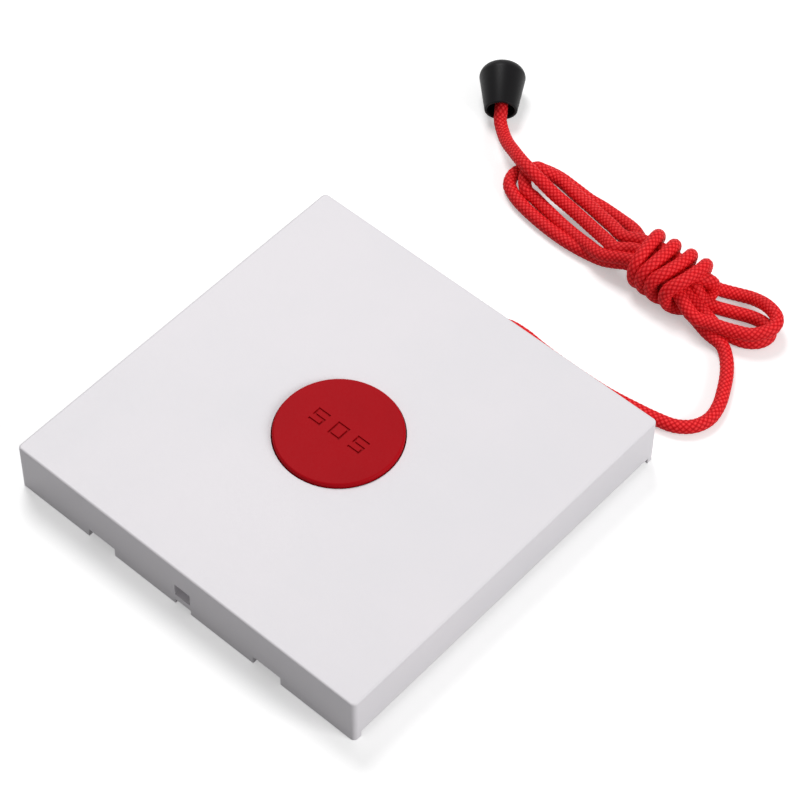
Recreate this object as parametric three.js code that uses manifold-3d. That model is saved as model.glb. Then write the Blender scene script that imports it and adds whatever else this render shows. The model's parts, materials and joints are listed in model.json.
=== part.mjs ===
// Wall emergency button: a square snap-on cover with a round push button, on a rear plate that
// holds the circuit board, and a pull cord that works a second switch and ends in a bell.
// Millimetres. Origin at the centre of the back face, +Z out of the wall, +Y up the wall.

import * as THREE from 'three';
import { mergeVertices } from 'three/addons/utils/BufferGeometryUtils.js';
import Module from 'manifold-3d';

const wasm = await Module();
wasm.setup();

// Clearances
const fitGap = 0.3;      // beside and between pieces that are cut, turned or slide
const layGap = 0.1;      // between flat pieces that lie on each other
const joinDepth = 0.2;   // how far ribs and bosses run into the wall that carries them
const cutOver = 1;       // how far a cutter runs past the surface it cuts

// Front cover
const plateSide = 86;
const plateDepth = 11.8;
const coverWall = 1.8;
const faceThickness = 2;
const cornerRadius = 1;
const faceEdgeRadius = 0.4;
const sideRelief = 1.5;        // left and right skirts stop this far from the wall
const cornerFoot = 1.9;        // length of skirt left standing at each corner
const prySlotWidth = 6.9;
const prySlotDepth = 2.2;
const prySlotSpacing = 42.6;
const latchSlotWidth = 4;
const latchSlotDepth = 1.3;
const latchWindowWidth = 3.9;
const latchWindowHeight = 3.3;
const latchWindowBottom = 2.9;
const guideRingWall = 1.2;
const guideRingDrop = 1.9;
const seatPostRadius = 2;
const seatPostInset = 5;
const keeperRibWidth = 8;
const keeperRibThickness = 1.2;

// Push button
const buttonRadius = 12.7;
const buttonProud = 0.9;
const buttonEdgeRadius = 0.5;
const buttonGap = 0.25;
const buttonTravel = 0.8;
const buttonRoof = 1.7;
const buttonWall = 1.9;
const flangeReach = 1.3;
const flangeThickness = 1.2;
const turnKeyWidth = 2.4;
const turnKeyReach = 0.9;
const stemRadius = 2.5;
const letterHeight = 3.4;
const letterWidth = 3;
const letterStroke = 0.5;
const letterPitch = 5;
const letterDepth = 0.3;

// Rear plate
const baseGap = 0.4;           // between the rear plate's rim and the cover's skirt
const baseFloor = 1.6;
const rimWall = 1.4;
const rimHeight = 7.6;
const baseCornerRadius = 0.8;
const pillarRadius = 2.6;
const bossRadius = 2.4;
const bossBore = 1;
const bossBoreDepth = 2.7;
const screwSpacing = 60;
const screwSlotWidth = 5;
const screwSlotLength = 9;
const screwRingWall = 1.8;
const screwRingHeight = 0.8;
const tongueWidth = 5.2;
const tongueSlit = 0.8;
const tongueHead = 1.1;

// Circuit board and its screws
const boardUnder = 3.6;        // height of the board's back above the wall
const boardThickness = 1.2;
const boardHalfWidth = 24;
const boardTopGap = 1.4;       // from the rim to the board's top edge
const boardBottomGap = 5.4;    // from the rim to the board's bottom edge
const boardNotchHalf = 8;
const boardNotchGap = 0.5;     // from the slide's back stop to the top of the notch
const boardCornerRadius = 1.5;
const boardHoleRadius = 1.2;
const boardScrewInset = 3.5;   // from the board's edges to the middle of each screw
const screwHeadRadius = 1.9;
const screwHeadHeight = 1.2;
const screwDomeHeight = 0.85;
const screwShankRadius = 0.8;
const screwShankLength = 3.4;
const screwTipLength = 0.4;
const screwCrossWidth = 0.5;
const screwCrossLength = 2.2;
const screwCrossDepth = 0.6;

// Switch below the button
const callSwitchSide = 6;
const callSwitchHeight = 3.5;
const callSwitchCorner = 0.4;
const callPlungerRadius = 1.7;
const callPlungerLength = 2.2;
const callPlungerEdge = 0.3;
const callBoreExtra = 0.3;     // free depth left below the pressed plunger
const springRadius = 6.5;
const springWire = 0.6;
const springTurns = 3.5;

// Pull cord, bush and slide
const cordRadius = 1.35;
const cordHeight = 4.6;        // height of the cord's middle where it leaves the plate
const bushNoseRadius = 2.9;
const bushBodyRadius = 2.2;
const bushFlangeRadius = 2.6;
const bushFlangeThickness = 0.8;
const bushMouthFlare = 0.75;
const bushChamfer = 0.4;
const knotRadius = 2.4;
const sliderHalfWidth = 5;
const sliderHeight = 5.5;
const sliderLength = 12;
const sliderFrontWall = 1.7;
const sliderPocketHalf = 3;
const sliderTravel = 3;
const rampRise = 0.2;          // plunger movement for each millimetre of pull
const rampStart = 0.1;
const rampLead = 1.2;
const rampHeight = 1.9;
const railWall = 1.2;
const railHeight = 2.8;
const stopWall = 1.2;
const pullSpringRadius = 2.25;
const pullSpringWire = 0.4;
const pullSpringTurns = 6;
const pullSpringRoom = 7.3;    // from the bush to the slide at rest

// Switch beside the slide
const pullSwitchDepth = 5;
const pullSwitchWidth = 6;
const pullSwitchHeight = 3.5;
const pullSwitchAlong = 6.5;   // from the slide's front to the middle of the switch
const pullSwitchInset = 0.6;   // how far its front stands back from the board's notch
const pullPlungerRadius = 0.9;
const pullPlungerBuried = 2.2; // length of plunger inside the switch at rest
const pullPlungerHeight = 1.7; // middle of the plunger above the board

// Coin cell
const cellRadius = 10;
const cellHeight = 3.2;
const cellRimRadius = 8.9;
const cellRimStep = 0.4;
const cellEdge = 0.3;
const cellInset = 11.8;        // from the board's top edge to the middle of the cell
const holderWall = 1.3;
const holderHeight = 2.6;
const holderMouth = 1.1;       // half angle left open in the ring, in radians
const clipWidth = 5;
const clipMetal = 0.3;
const clipFoot = 2.4;
const contactLength = 14;
const contactWidth = 4;

// Radio and small parts on the board
const radioWidth = 14;
const radioLength = 14;
const radioBoardThickness = 0.8;
const radioShieldHeight = 1.3;
const radioShieldInset = 1.4;
const radioCorner = 0.6;
const radioInset = 7.8;        // from the board's left edge to the middle of the radio
const radioRise = 13.6;        // from the board's bottom edge to the middle of the radio
const antennaRadius = 1.5;
const antennaWire = 0.5;
const antennaTurns = 7;
const antennaLength = 13;
const antennaInset = 3.2;      // from the board's left edge to the antenna's middle line
const smallPartInset = 7.5;    // from the board's edges to the chip and the crystal
const chipSide = 5;
const chipHeight = 0.9;
const chipCorner = 0.2;
const chipY = 12;
const crystalLength = 8;
const crystalWidth = 3.4;
const crystalHeight = 2.2;
const crystalY = 12.5;
const ledLength = 3.5;
const ledWidth = 2.8;
const ledHeight = 1.8;
const ledCorner = 0.3;
const ledY = -8.9;

// Bell end. Every drop here and in the hank is a distance below the plate's lower side
const bellMouthRadius = 3.5;
const bellEndRadius = 4.9;
const bellLength = 10.4;
const bellEdge = 1.2;
const bellHollow = 6.5;
const bellMouthX = 36.1;
const bellMouthDrop = 46.8;
const bellTurn = 0.67;         // angle of its axis from the plate's bottom direction, in radians

// Hank
const hankLoopHeight = 5.6;
const hankWrapHeight = 10.2;
const hankLeftX = 17.4;
const hankLeftDrop = 36.1;
const hankLeftRadius = 7.4;
const hankRightX = -36.6;
const hankRightDrop = 38.1;
const hankRightRadius = 6.9;
const hankWrapRightX = -26.4;
const hankWrapLeftX = -7.6;
const hankWrapHalf = 7;
const hankWrapDrop = 34.8;
const hankWrapCorner = 2;

// Route of the cord from the bush to the hank, and from the hank to the bell: across, drop, height
const leadRoute = [
  [0, -0.7, cordHeight], [0, 0.3, 4.5], [-0.9, 2.4, 4], [-3, 4.1, 3.1], [-6.2, 4.9, 2.2],
  [-10, 4.9, 1.6], [-15, 4.8, 1.4], [-21, 4.8, 1.4], [-27, 5, 1.4], [-33, 5.8, 1.4],
  [-38, 6.7, 1.4], [-42, 7.9, 1.4], [-44.7, 10.3, 1.4], [-45.8, 13.6, 1.4],
  [-45.2, 17.3, 1.4], [-43.4, 21.3, 1.4], [-41.1, 25.2, 1.4], [-38.6, 28.1, 1.4], [-36.2, 29.8, 1.4],
];
const tailRoute = [
  [25.4, 39, 4.5], [29.8, 41.5, 2.7], [32.9, 43.8, 1.8], [34.9, 45.3, 2.4], [35.9, 46.6, 3.4],
];
const leadStep = 4;
const tailStep = 3;

// Sizes that follow
const coverHalf = plateSide / 2;
const coverInner = coverHalf - coverWall;
const faceUnder = plateDepth - faceThickness;
const baseHalf = coverInner - baseGap;
const rimInner = baseHalf - rimWall;
const boardTop = boardUnder + boardThickness;
const boardTopY = rimInner - boardTopGap;
const boardBottomY = boardBottomGap - rimInner;
const cellY = boardTopY - cellInset;
const radioX = radioInset - boardHalfWidth;
const radioY = boardBottomY + radioRise;
const antennaX = antennaInset - boardHalfWidth;
const chipX = boardHalfWidth - smallPartInset;
const crystalX = -chipX;
const partSeat = boardTop + layGap;
const flangeTop = faceUnder - fitGap;
const flangeBottom = flangeTop - flangeThickness;
const flangeRadius = buttonRadius + flangeReach;
const buttonTop = plateDepth + buttonProud;
const roofUnder = buttonTop - buttonRoof;
const ringInner = flangeRadius + fitGap;
const callBodyTop = partSeat + callSwitchHeight;
const callPlungerTop = callBodyTop + buttonTravel;
const sliderBottom = baseFloor + fitGap;
const sliderTop = sliderBottom + sliderHeight;
const bushInnerY = -rimInner + fitGap + bushFlangeThickness;
const sliderFrontY = bushInnerY + pullSpringRoom;
const sliderBackY = sliderFrontY + sliderLength;
const boardNotchTopY = sliderBackY + fitGap + stopWall + boardNotchGap;
const cordBore = cordRadius + fitGap;
const knotY = sliderFrontY + sliderFrontWall + fitGap + knotRadius;
const pullSwitchFront = boardNotchHalf + pullSwitchInset;
const pullSwitchY = sliderFrontY + pullSwitchAlong;
const pullAxisHeight = partSeat + pullPlungerHeight;
const cellSeat = partSeat + clipMetal + layGap;
const cellTop = cellSeat + cellHeight;
const slotEnd = screwSlotWidth / 2;
const ringEnd = slotEnd + screwRingWall;
const belowPlate = (drop) => -coverHalf - drop;

// Steps on round forms
const stepsLarge = 56;
const stepsMedium = 24;
const stepsSmall = 14;
const cornerSteps = 3;
const roundEndSteps = 10;
const roundEndTrim = 0.01;     // straight left between two round ends
const cordSides = 8;
const wireSides = 5;
const coilSteps = 10;

// Finishes
const finish = (color, roughness, metalness = 0) =>
  new THREE.MeshStandardMaterial({ color, roughness, metalness });
const finishes = {
  coverWhite: finish(0xe6e2e6, 0.55),
  plateWhite: finish(0xdcd9dc, 0.6),
  buttonRed: finish(0xb41f2b, 0.45),
  cordRed: finish(0xcd141e, 0.8),
  bellBlack: finish(0x1e1c20, 0.45),
  slideGrey: finish(0xc9c9cc, 0.5),
  boardGreen: finish(0x1d5a37, 0.5),
  switchBlack: finish(0x222226, 0.5),
  springSteel: finish(0xb9bbc0, 0.3, 1),
  cellSteel: finish(0xc8cacd, 0.25, 1),
  bushWhite: finish(0xd2d0d3, 0.55),
  chipBlack: finish(0x1b1b1e, 0.4),
  ledClear: finish(0xf2e9c8, 0.3),
};

// Geometry to solid and back
function solidOf(geometry) {
  const bare = geometry.index ? geometry.toNonIndexed() : geometry.clone();
  for (const key of Object.keys(bare.attributes)) {
    if (key !== 'position') bare.deleteAttribute(key);
  }
  const merged = mergeVertices(bare, 1e-4);
  const vertProperties = new Float32Array(merged.attributes.position.array);
  const corners = merged.index.array;
  const kept = [];
  for (let i = 0; i < corners.length; i += 3) {
    const [a, b, c] = [corners[i], corners[i + 1], corners[i + 2]];
    if (a !== b && b !== c && c !== a) kept.push(a, b, c);
  }
  return new wasm.Manifold(
    new wasm.Mesh({ numProp: 3, vertProperties, triVerts: new Uint32Array(kept) }),
  );
}

function geometryOf(solid) {
  const mesh = solid.getMesh();
  const geometry = new THREE.BufferGeometry();
  const places = [];
  for (let i = 0; i < mesh.vertProperties.length; i += mesh.numProp) {
    places.push(mesh.vertProperties[i], mesh.vertProperties[i + 1], mesh.vertProperties[i + 2]);
  }
  geometry.setAttribute('position', new THREE.Float32BufferAttribute(places, 3));
  geometry.setIndex(Array.from(mesh.triVerts));
  geometry.computeVertexNormals();
  return geometry;
}

const joined = (first, ...others) => others.reduce((sum, solid) => sum.add(solid), first);
const cutBy = (first, ...others) => others.reduce((rest, solid) => rest.subtract(solid), first);

// Basic shapes
const quarter = Math.PI / 2;

function roundedOutline(halfX, halfY, radius, centreX = 0, centreY = 0) {
  const shape = new THREE.Shape();
  const [left, right] = [centreX - halfX + radius, centreX + halfX - radius];
  const [low, high] = [centreY - halfY + radius, centreY + halfY - radius];
  shape.moveTo(left, low - radius);
  shape.absarc(right, low, radius, -quarter, 0);
  shape.absarc(right, high, radius, 0, quarter);
  shape.absarc(left, high, radius, quarter, 2 * quarter);
  shape.absarc(left, low, radius, 2 * quarter, 3 * quarter);
  return shape;
}

function prism(shape, low, high, curveSegments = cornerSteps) {
  const geometry = new THREE.ExtrudeGeometry(shape, {
    depth: high - low, bevelEnabled: false, curveSegments,
  });
  return geometry.translate(0, 0, low);
}

function boxBetween(lowX, highX, lowY, highY, lowZ, highZ) {
  const geometry = new THREE.BoxGeometry(highX - lowX, highY - lowY, highZ - lowZ);
  return geometry.translate((lowX + highX) / 2, (lowY + highY) / 2, (lowZ + highZ) / 2);
}

function post(x, y, radius, low, high, steps = stepsMedium) {
  const geometry = new THREE.CylinderGeometry(radius, radius, high - low, steps);
  return geometry.rotateX(quarter).translate(x, y, (low + high) / 2);
}

function turnedUp(profile, steps) {
  const points = profile.map(([r, z]) => new THREE.Vector2(r, z));
  return new THREE.LatheGeometry(points, steps).rotateX(quarter);
}

function turnedAlongY(profile, steps) {
  const points = profile.map(([r, y]) => new THREE.Vector2(r, y));
  return new THREE.LatheGeometry(points, steps);
}

function edgeArc(radius, edge, low, sides = 4) {
  const places = [];
  for (let i = 0; i <= sides; i += 1) {
    const angle = quarter * (i / sides);
    places.push([radius - edge + edge * Math.cos(angle), low + edge * Math.sin(angle)]);
  }
  return places;
}

function roundSection(radius, sides) {
  const shape = new THREE.Shape();
  for (let i = 0; i < sides; i += 1) {
    const angle = (2 * Math.PI * i) / sides;
    const [x, y] = [radius * Math.cos(angle), radius * Math.sin(angle)];
    if (i === 0) shape.moveTo(x, y);
    else shape.lineTo(x, y);
  }
  shape.closePath();
  return shape;
}

function tubeAlong(path, radius, sides, steps) {
  return new THREE.ExtrudeGeometry(roundSection(radius, sides), { extrudePath: path, steps });
}

// A coil that climbs along +Z from the origin
class CoilCurve extends THREE.Curve {
  constructor(radius, length, turns) {
    super();
    this.coil = { radius, length, turns };
  }

  getPoint(t, target = new THREE.Vector3()) {
    const { radius, length, turns } = this.coil;
    const angle = 2 * Math.PI * turns * t;
    return target.set(radius * Math.cos(angle), radius * Math.sin(angle), length * t);
  }
}

function coilSpring(radius, wire, low, high, turns, stepsPerTurn = coilSteps) {
  const path = new CoilCurve(radius, high - low - wire, turns);
  const steps = Math.round(turns * stepsPerTurn);
  return tubeAlong(path, wire / 2, wireSides, steps).translate(0, 0, low + wire / 2);
}

// Front cover
function coverShell() {
  const depth = plateDepth + cutOver - faceEdgeRadius;
  const outer = new THREE.ExtrudeGeometry(roundedOutline(coverHalf, coverHalf, cornerRadius), {
    depth,
    bevelThickness: faceEdgeRadius,
    bevelSize: faceEdgeRadius,
    bevelOffset: -faceEdgeRadius,
    bevelSegments: 3,
    curveSegments: 5,
  }).translate(0, 0, -cutOver);
  const wide = plateSide;
  const below = boxBetween(-wide, wide, -wide, wide, -3 * cutOver, 0);
  const innerRadius = Math.max(cornerRadius - coverWall, 0) + baseCornerRadius;
  const cavity = prism(roundedOutline(coverInner, coverInner, innerRadius), -3 * cutOver, faceUnder);
  return cutBy(solidOf(outer), solidOf(below), solidOf(cavity));
}

function guideRing() {
  const low = faceUnder - guideRingDrop;
  const high = faceUnder + joinDepth;
  const ring = cutBy(
    solidOf(post(0, 0, ringInner + guideRingWall, low, high, stepsLarge)),
    solidOf(post(0, 0, ringInner, low - cutOver, faceUnder, stepsLarge)),
    solidOf(post(0, 0, buttonRadius + buttonGap, low - cutOver, high + cutOver, stepsLarge)),
  );
  const keyHalf = turnKeyWidth / 2 + fitGap;
  const keyReach = ringInner + guideRingWall + cutOver;
  const keyWay = boxBetween(-keyReach, keyReach, -keyHalf, keyHalf, low - cutOver, faceUnder);
  return cutBy(ring, solidOf(keyWay));
}

function coverPostPlaces() {
  const place = rimInner - seatPostInset;
  return [[-1, -1], [1, -1], [1, 1], [-1, 1]].map(([x, y]) => [x * place, y * place]);
}

function frontCover() {
  const outside = coverHalf + cutOver;
  const inside = coverInner - cutOver;
  const slots = [-1, 1].map((side) => {
    const x = (side * prySlotSpacing) / 2;
    const half = prySlotWidth / 2;
    return boxBetween(x - half, x + half, inside, outside, -cutOver, prySlotDepth);
  });
  const slotHalf = latchSlotWidth / 2;
  slots.push(boxBetween(-slotHalf, slotHalf, inside, outside, -cutOver, latchSlotDepth));
  slots.push(boxBetween(
    -latchWindowWidth / 2, latchWindowWidth / 2, inside, outside,
    latchWindowBottom, latchWindowBottom + latchWindowHeight,
  ));
  const footStart = coverHalf - cornerFoot;
  slots.push(boxBetween(inside, outside, -footStart, footStart, -cutOver, sideRelief));
  slots.push(boxBetween(-outside, -inside, -footStart, footStart, -cutOver, sideRelief));
  const noseHalf = bushNoseRadius + fitGap;
  slots.push(boxBetween(-noseHalf, noseHalf, -outside, -inside, -cutOver, cordHeight));
  const noseTop = new THREE.CylinderGeometry(noseHalf, noseHalf, outside - inside, stepsMedium);
  slots.push(noseTop.translate(0, -(outside + inside) / 2, cordHeight));
  const holeRadius = buttonRadius + buttonGap;
  slots.push(post(0, 0, holeRadius, faceUnder - cutOver, plateDepth + cutOver, stepsLarge));

  const seatPosts = coverPostPlaces().map(([x, y]) =>
    solidOf(post(x, y, seatPostRadius, rimHeight + layGap, faceUnder + joinDepth, stepsSmall)));
  const ribY = sliderBackY - keeperRibThickness - fitGap - sliderTravel / 2;
  const keeperRib = boxBetween(
    -keeperRibWidth / 2, keeperRibWidth / 2, ribY - keeperRibThickness, ribY,
    sliderTop + fitGap, faceUnder + joinDepth,
  );
  const shell = cutBy(coverShell(), ...slots.map(solidOf));
  return joined(shell, guideRing(), ...seatPosts, solidOf(keeperRib));
}

// Push button
function letterStrokes(letter) {
  const w = letterWidth / 2;
  const h = letterHeight / 2;
  const s = letterStroke;
  const level = (y) => [-w, w, y - s / 2, y + s / 2];
  const upright = (x, low, high) => [x - s / 2, x + s / 2, low - s / 2, high + s / 2];
  const top = h - s / 2;
  const side = w - s / 2;
  const strokes = [level(top), level(-top)];
  if (letter === 'O') {
    strokes.push(upright(-side, -top, top), upright(side, -top, top));
  } else {
    strokes.push(level(0), upright(-side, 0, top), upright(side, -top, 0));
  }
  return strokes;
}

function letterCutters() {
  const letters = ['S', 'O', 'S'];
  const low = buttonTop - letterDepth;
  return letters.flatMap((letter, i) => {
    const x = (i - (letters.length - 1) / 2) * letterPitch;
    return letterStrokes(letter).map(([x0, x1, y0, y1]) =>
      solidOf(boxBetween(x + x0, x + x1, y0, y1, low, buttonTop + cutOver)));
  });
}

function buttonCap() {
  const innerRadius = buttonRadius - buttonWall;
  const stemLow = callPlungerTop + fitGap;
  const edge = edgeArc(buttonRadius, buttonEdgeRadius, buttonTop - buttonEdgeRadius);
  const body = turnedUp([
    [0, stemLow], [stemRadius, stemLow], [stemRadius, roofUnder], [innerRadius, roofUnder],
    [innerRadius, flangeBottom], [flangeRadius, flangeBottom], [flangeRadius, flangeTop],
    [buttonRadius, flangeTop], ...edge, [0, buttonTop],
  ], stepsLarge);
  const keys = [-1, 1].map((side) => {
    const from = side * (flangeRadius - joinDepth - flangeReach / 2);
    const to = side * (flangeRadius + turnKeyReach);
    return solidOf(boxBetween(
      Math.min(from, to), Math.max(from, to), -turnKeyWidth / 2, turnKeyWidth / 2,
      flangeBottom, flangeTop,
    ));
  });
  return cutBy(joined(solidOf(body), ...keys), ...letterCutters());
}

// Rear plate
function roundEnded(x, y, halfLong, halfWide, alongX) {
  const radius = halfWide - roundEndTrim;
  return alongX
    ? roundedOutline(halfLong, halfWide, radius, x, y)
    : roundedOutline(halfWide, halfLong, radius, x, y);
}

function screwSlotCutter(x, alongX) {
  const outline = roundEnded(x, 0, screwSlotLength / 2, slotEnd, alongX);
  return prism(outline, -cutOver, baseFloor + screwRingHeight + cutOver, roundEndSteps);
}

function screwRing(x, alongX) {
  const outline = roundEnded(x, 0, screwSlotLength / 2 + screwRingWall, ringEnd, alongX);
  return prism(outline, baseFloor - joinDepth, baseFloor + screwRingHeight, roundEndSteps);
}

function boardScrewPlaces() {
  const x = boardHalfWidth - boardScrewInset;
  const low = boardBottomY + boardScrewInset;
  const high = boardTopY - boardScrewInset;
  return [[-x, low], [x, low], [x, high], [-x, high]];
}

function sliderCradle() {
  const low = baseFloor - joinDepth;
  const high = baseFloor + railHeight;
  const railIn = sliderHalfWidth + fitGap;
  const railOut = railIn + railWall;
  const frontY = sliderFrontY - sliderTravel - fitGap;
  const backY = sliderBackY + fitGap;
  const stopIn = bushFlangeRadius + 2 * fitGap;
  return [
    boxBetween(railIn, railOut, frontY - stopWall, backY + stopWall, low, high),
    boxBetween(-railOut, -railIn, frontY - stopWall, backY + stopWall, low, high),
    boxBetween(-railOut, railOut, backY, backY + stopWall, low, high),
    boxBetween(stopIn, railOut, frontY - stopWall, frontY, low, high),
    boxBetween(-railOut, -stopIn, frontY - stopWall, frontY, low, high),
  ];
}

function basePlate() {
  const outline = roundedOutline(baseHalf, baseHalf, baseCornerRadius);
  const hollow = roundedOutline(rimInner, rimInner, baseCornerRadius);
  const tray = cutBy(
    solidOf(prism(outline, 0, rimHeight)),
    solidOf(prism(hollow, baseFloor, rimHeight + cutOver)),
  );
  const root = baseFloor - joinDepth;
  const bossTop = boardUnder - layGap;
  const bosses = boardScrewPlaces().map(([x, y]) =>
    solidOf(post(x, y, bossRadius, root, bossTop, stepsSmall)));
  const bores = boardScrewPlaces().map(([x, y]) =>
    solidOf(post(x, y, bossBore, bossTop - bossBoreDepth, bossTop + cutOver, stepsSmall)));
  const pillars = coverPostPlaces().map(([x, y]) =>
    solidOf(post(x, y, pillarRadius, root, rimHeight, stepsSmall)));
  const screwX = screwSpacing / 2;
  const rings = [solidOf(screwRing(-screwX, true)), solidOf(screwRing(screwX, false))];
  const screwSlots = [
    solidOf(screwSlotCutter(-screwX, true)), solidOf(screwSlotCutter(screwX, false)),
  ];
  const bushHalf = bushBodyRadius + fitGap;
  const bushSeat = new THREE.CylinderGeometry(bushHalf, bushHalf, rimWall + 2 * cutOver, stepsMedium);
  const bushY = -(baseHalf + rimInner) / 2;
  const bushSlot = [
    solidOf(bushSeat.translate(0, bushY, cordHeight)),
    solidOf(boxBetween(
      -bushHalf, bushHalf, -baseHalf - cutOver, -rimInner + cutOver, cordHeight, rimHeight + cutOver,
    )),
  ];
  const slits = [-1, 1].map((side) => {
    const x = side * (tongueWidth + tongueSlit) / 2;
    return solidOf(boxBetween(
      x - tongueSlit / 2, x + tongueSlit / 2, rimInner - cutOver, baseHalf + cutOver,
      baseFloor, rimHeight + cutOver,
    ));
  });
  const headLow = latchWindowBottom + latchWindowHeight / 2;
  const tongueNose = solidOf(boxBetween(
    -tongueWidth / 2, tongueWidth / 2, rimInner - tongueHead, rimInner + joinDepth, headLow, rimHeight,
  ));
  const standing = joined(tray, ...bosses, ...pillars, ...rings, ...sliderCradle().map(solidOf));
  return joined(cutBy(standing, ...bores, ...screwSlots, ...bushSlot, ...slits), tongueNose);
}

// Circuit board
function circuitBoard() {
  const r = boardCornerRadius;
  const w = boardHalfWidth;
  const n = boardNotchHalf;
  const shape = new THREE.Shape();
  shape.moveTo(n, boardNotchTopY);
  shape.lineTo(n, boardBottomY);
  shape.absarc(w - r, boardBottomY + r, r, -quarter, 0);
  shape.absarc(w - r, boardTopY - r, r, 0, quarter);
  shape.absarc(-w + r, boardTopY - r, r, quarter, 2 * quarter);
  shape.absarc(-w + r, boardBottomY + r, r, 2 * quarter, 3 * quarter);
  shape.lineTo(-n, boardBottomY);
  shape.lineTo(-n, boardNotchTopY);
  for (const [x, y] of boardScrewPlaces()) {
    const hole = new THREE.Path();
    hole.absarc(x, y, boardHoleRadius, 0, 2 * Math.PI, true);
    shape.holes.push(hole);
  }
  return solidOf(prism(shape, boardUnder, boardTop));
}

function boardScrew() {
  const headTop = partSeat + screwHeadHeight;
  const tip = partSeat - screwShankLength;
  const dome = edgeArc(screwHeadRadius, screwDomeHeight, headTop - screwDomeHeight);
  const body = solidOf(turnedUp([
    [0, tip], [screwShankRadius - screwTipLength, tip], [screwShankRadius, tip + screwTipLength],
    [screwShankRadius, partSeat], [screwHeadRadius, partSeat], ...dome, [0, headTop],
  ], stepsSmall));
  const low = headTop - screwCrossDepth;
  const high = headTop + cutOver;
  const across = screwCrossWidth / 2;
  const along = screwCrossLength / 2;
  return cutBy(
    body,
    solidOf(boxBetween(-along, along, -across, across, low, high)),
    solidOf(boxBetween(-across, across, -along, along, low, high)),
  );
}

// Switch below the button
function callSwitchBody() {
  const half = callSwitchSide / 2;
  const bore = callPlungerRadius + fitGap;
  const boreLow = callPlungerTop - callPlungerLength - buttonTravel - callBoreExtra;
  return cutBy(
    solidOf(prism(roundedOutline(half, half, callSwitchCorner), partSeat, callBodyTop)),
    solidOf(post(0, 0, bore, boreLow, callBodyTop + cutOver, stepsSmall)),
  );
}

function callSwitchPlunger() {
  const low = callPlungerTop - callPlungerLength;
  const edge = edgeArc(callPlungerRadius, callPlungerEdge, callPlungerTop - callPlungerEdge, 2);
  return solidOf(turnedUp([
    [0, low], [callPlungerRadius, low], ...edge, [0, callPlungerTop],
  ], stepsSmall));
}

function buttonSpring() {
  const low = boardTop + fitGap;
  const high = roofUnder - fitGap;
  return solidOf(coilSpring(springRadius, springWire, low, high, springTurns, 2 * coilSteps));
}

// Slide, its spring and the bush
const plungerTip = () =>
  sliderHalfWidth + rampStart + rampRise * (rampLead + pullPlungerRadius) + fitGap;

function pullSlider() {
  const body = boxBetween(
    -sliderHalfWidth, sliderHalfWidth, sliderFrontY, sliderBackY, sliderBottom, sliderTop,
  );
  const pocketFront = sliderFrontY + sliderFrontWall;
  const pocketBack = knotY + knotRadius + 2 * fitGap;
  const pocket = boxBetween(
    -sliderPocketHalf, sliderPocketHalf, pocketFront, pocketBack,
    sliderBottom - cutOver, sliderTop + cutOver,
  );
  const slotFront = sliderFrontY - cutOver / 2;
  const slotBack = pocketFront + cutOver / 2;
  const slotRound = new THREE.CylinderGeometry(cordBore, cordBore, slotBack - slotFront, stepsSmall);
  slotRound.translate(0, (slotFront + slotBack) / 2, cordHeight);
  const slotOpen = boxBetween(
    -cordBore, cordBore, slotFront, slotBack, cordHeight, sliderTop + cutOver,
  );
  const rampLow = pullSwitchY - rampLead;
  const rampHigh = pullSwitchY + rampLead + sliderTravel;
  const ramp = new THREE.Shape();
  ramp.moveTo(sliderHalfWidth - joinDepth, rampLow);
  ramp.lineTo(sliderHalfWidth + rampStart, rampLow);
  ramp.lineTo(sliderHalfWidth + rampStart + rampRise * (rampHigh - rampLow), rampHigh);
  ramp.lineTo(sliderHalfWidth - joinDepth, rampHigh);
  ramp.closePath();
  return joined(
    cutBy(solidOf(body), solidOf(pocket), solidOf(slotRound), solidOf(slotOpen)),
    solidOf(prism(ramp, sliderTop - rampHeight, sliderTop)),
  );
}

function sliderSpring() {
  const from = bushInnerY + fitGap;
  const to = sliderFrontY - fitGap;
  const coil = coilSpring(pullSpringRadius, pullSpringWire, 0, to - from, pullSpringTurns);
  return solidOf(coil.rotateX(-quarter).translate(0, from, cordHeight));
}

function cordBush() {
  const noseY = -coverHalf;
  const noseBack = -baseHalf - fitGap;
  const flangeFront = -rimInner + fitGap;
  const flare = bushMouthFlare * (1 - Math.SQRT1_2);
  return solidOf(turnedAlongY([
    [cordBore + bushMouthFlare, noseY], [bushNoseRadius - bushChamfer, noseY],
    [bushNoseRadius, noseY + bushChamfer], [bushNoseRadius, noseBack],
    [bushBodyRadius, noseBack], [bushBodyRadius, flangeFront],
    [bushFlangeRadius, flangeFront], [bushFlangeRadius, bushInnerY], [cordBore, bushInnerY],
    [cordBore, noseY + bushMouthFlare], [cordBore + flare, noseY + flare],
    [cordBore + bushMouthFlare, noseY],
  ], stepsMedium).translate(0, 0, cordHeight));
}

function cordKnot() {
  const knot = new THREE.SphereGeometry(knotRadius, stepsSmall, stepsSmall);
  return solidOf(knot.translate(0, knotY, cordHeight));
}

function cordInner() {
  const from = knotY - knotRadius - fitGap / 2;
  const to = belowPlate(leadRoute[0][1]) + fitGap;
  const stretch = new THREE.CylinderGeometry(cordRadius, cordRadius, from - to, stepsSmall);
  return solidOf(stretch.translate(0, (from + to) / 2, cordHeight));
}

// Switch beside the slide
function pullSwitchBody() {
  const low = pullSwitchFront;
  const half = pullSwitchWidth / 2;
  const body = boxBetween(
    low, low + pullSwitchDepth, pullSwitchY - half, pullSwitchY + half,
    partSeat, partSeat + pullSwitchHeight,
  );
  const boreRadius = pullPlungerRadius + fitGap;
  const boreLength = pullPlungerBuried + rampRise * sliderTravel + fitGap + cutOver;
  const bore = new THREE.CylinderGeometry(boreRadius, boreRadius, boreLength, stepsSmall);
  bore.rotateZ(quarter).translate(low - cutOver + boreLength / 2, pullSwitchY, pullAxisHeight);
  return cutBy(solidOf(body), solidOf(bore));
}

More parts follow.
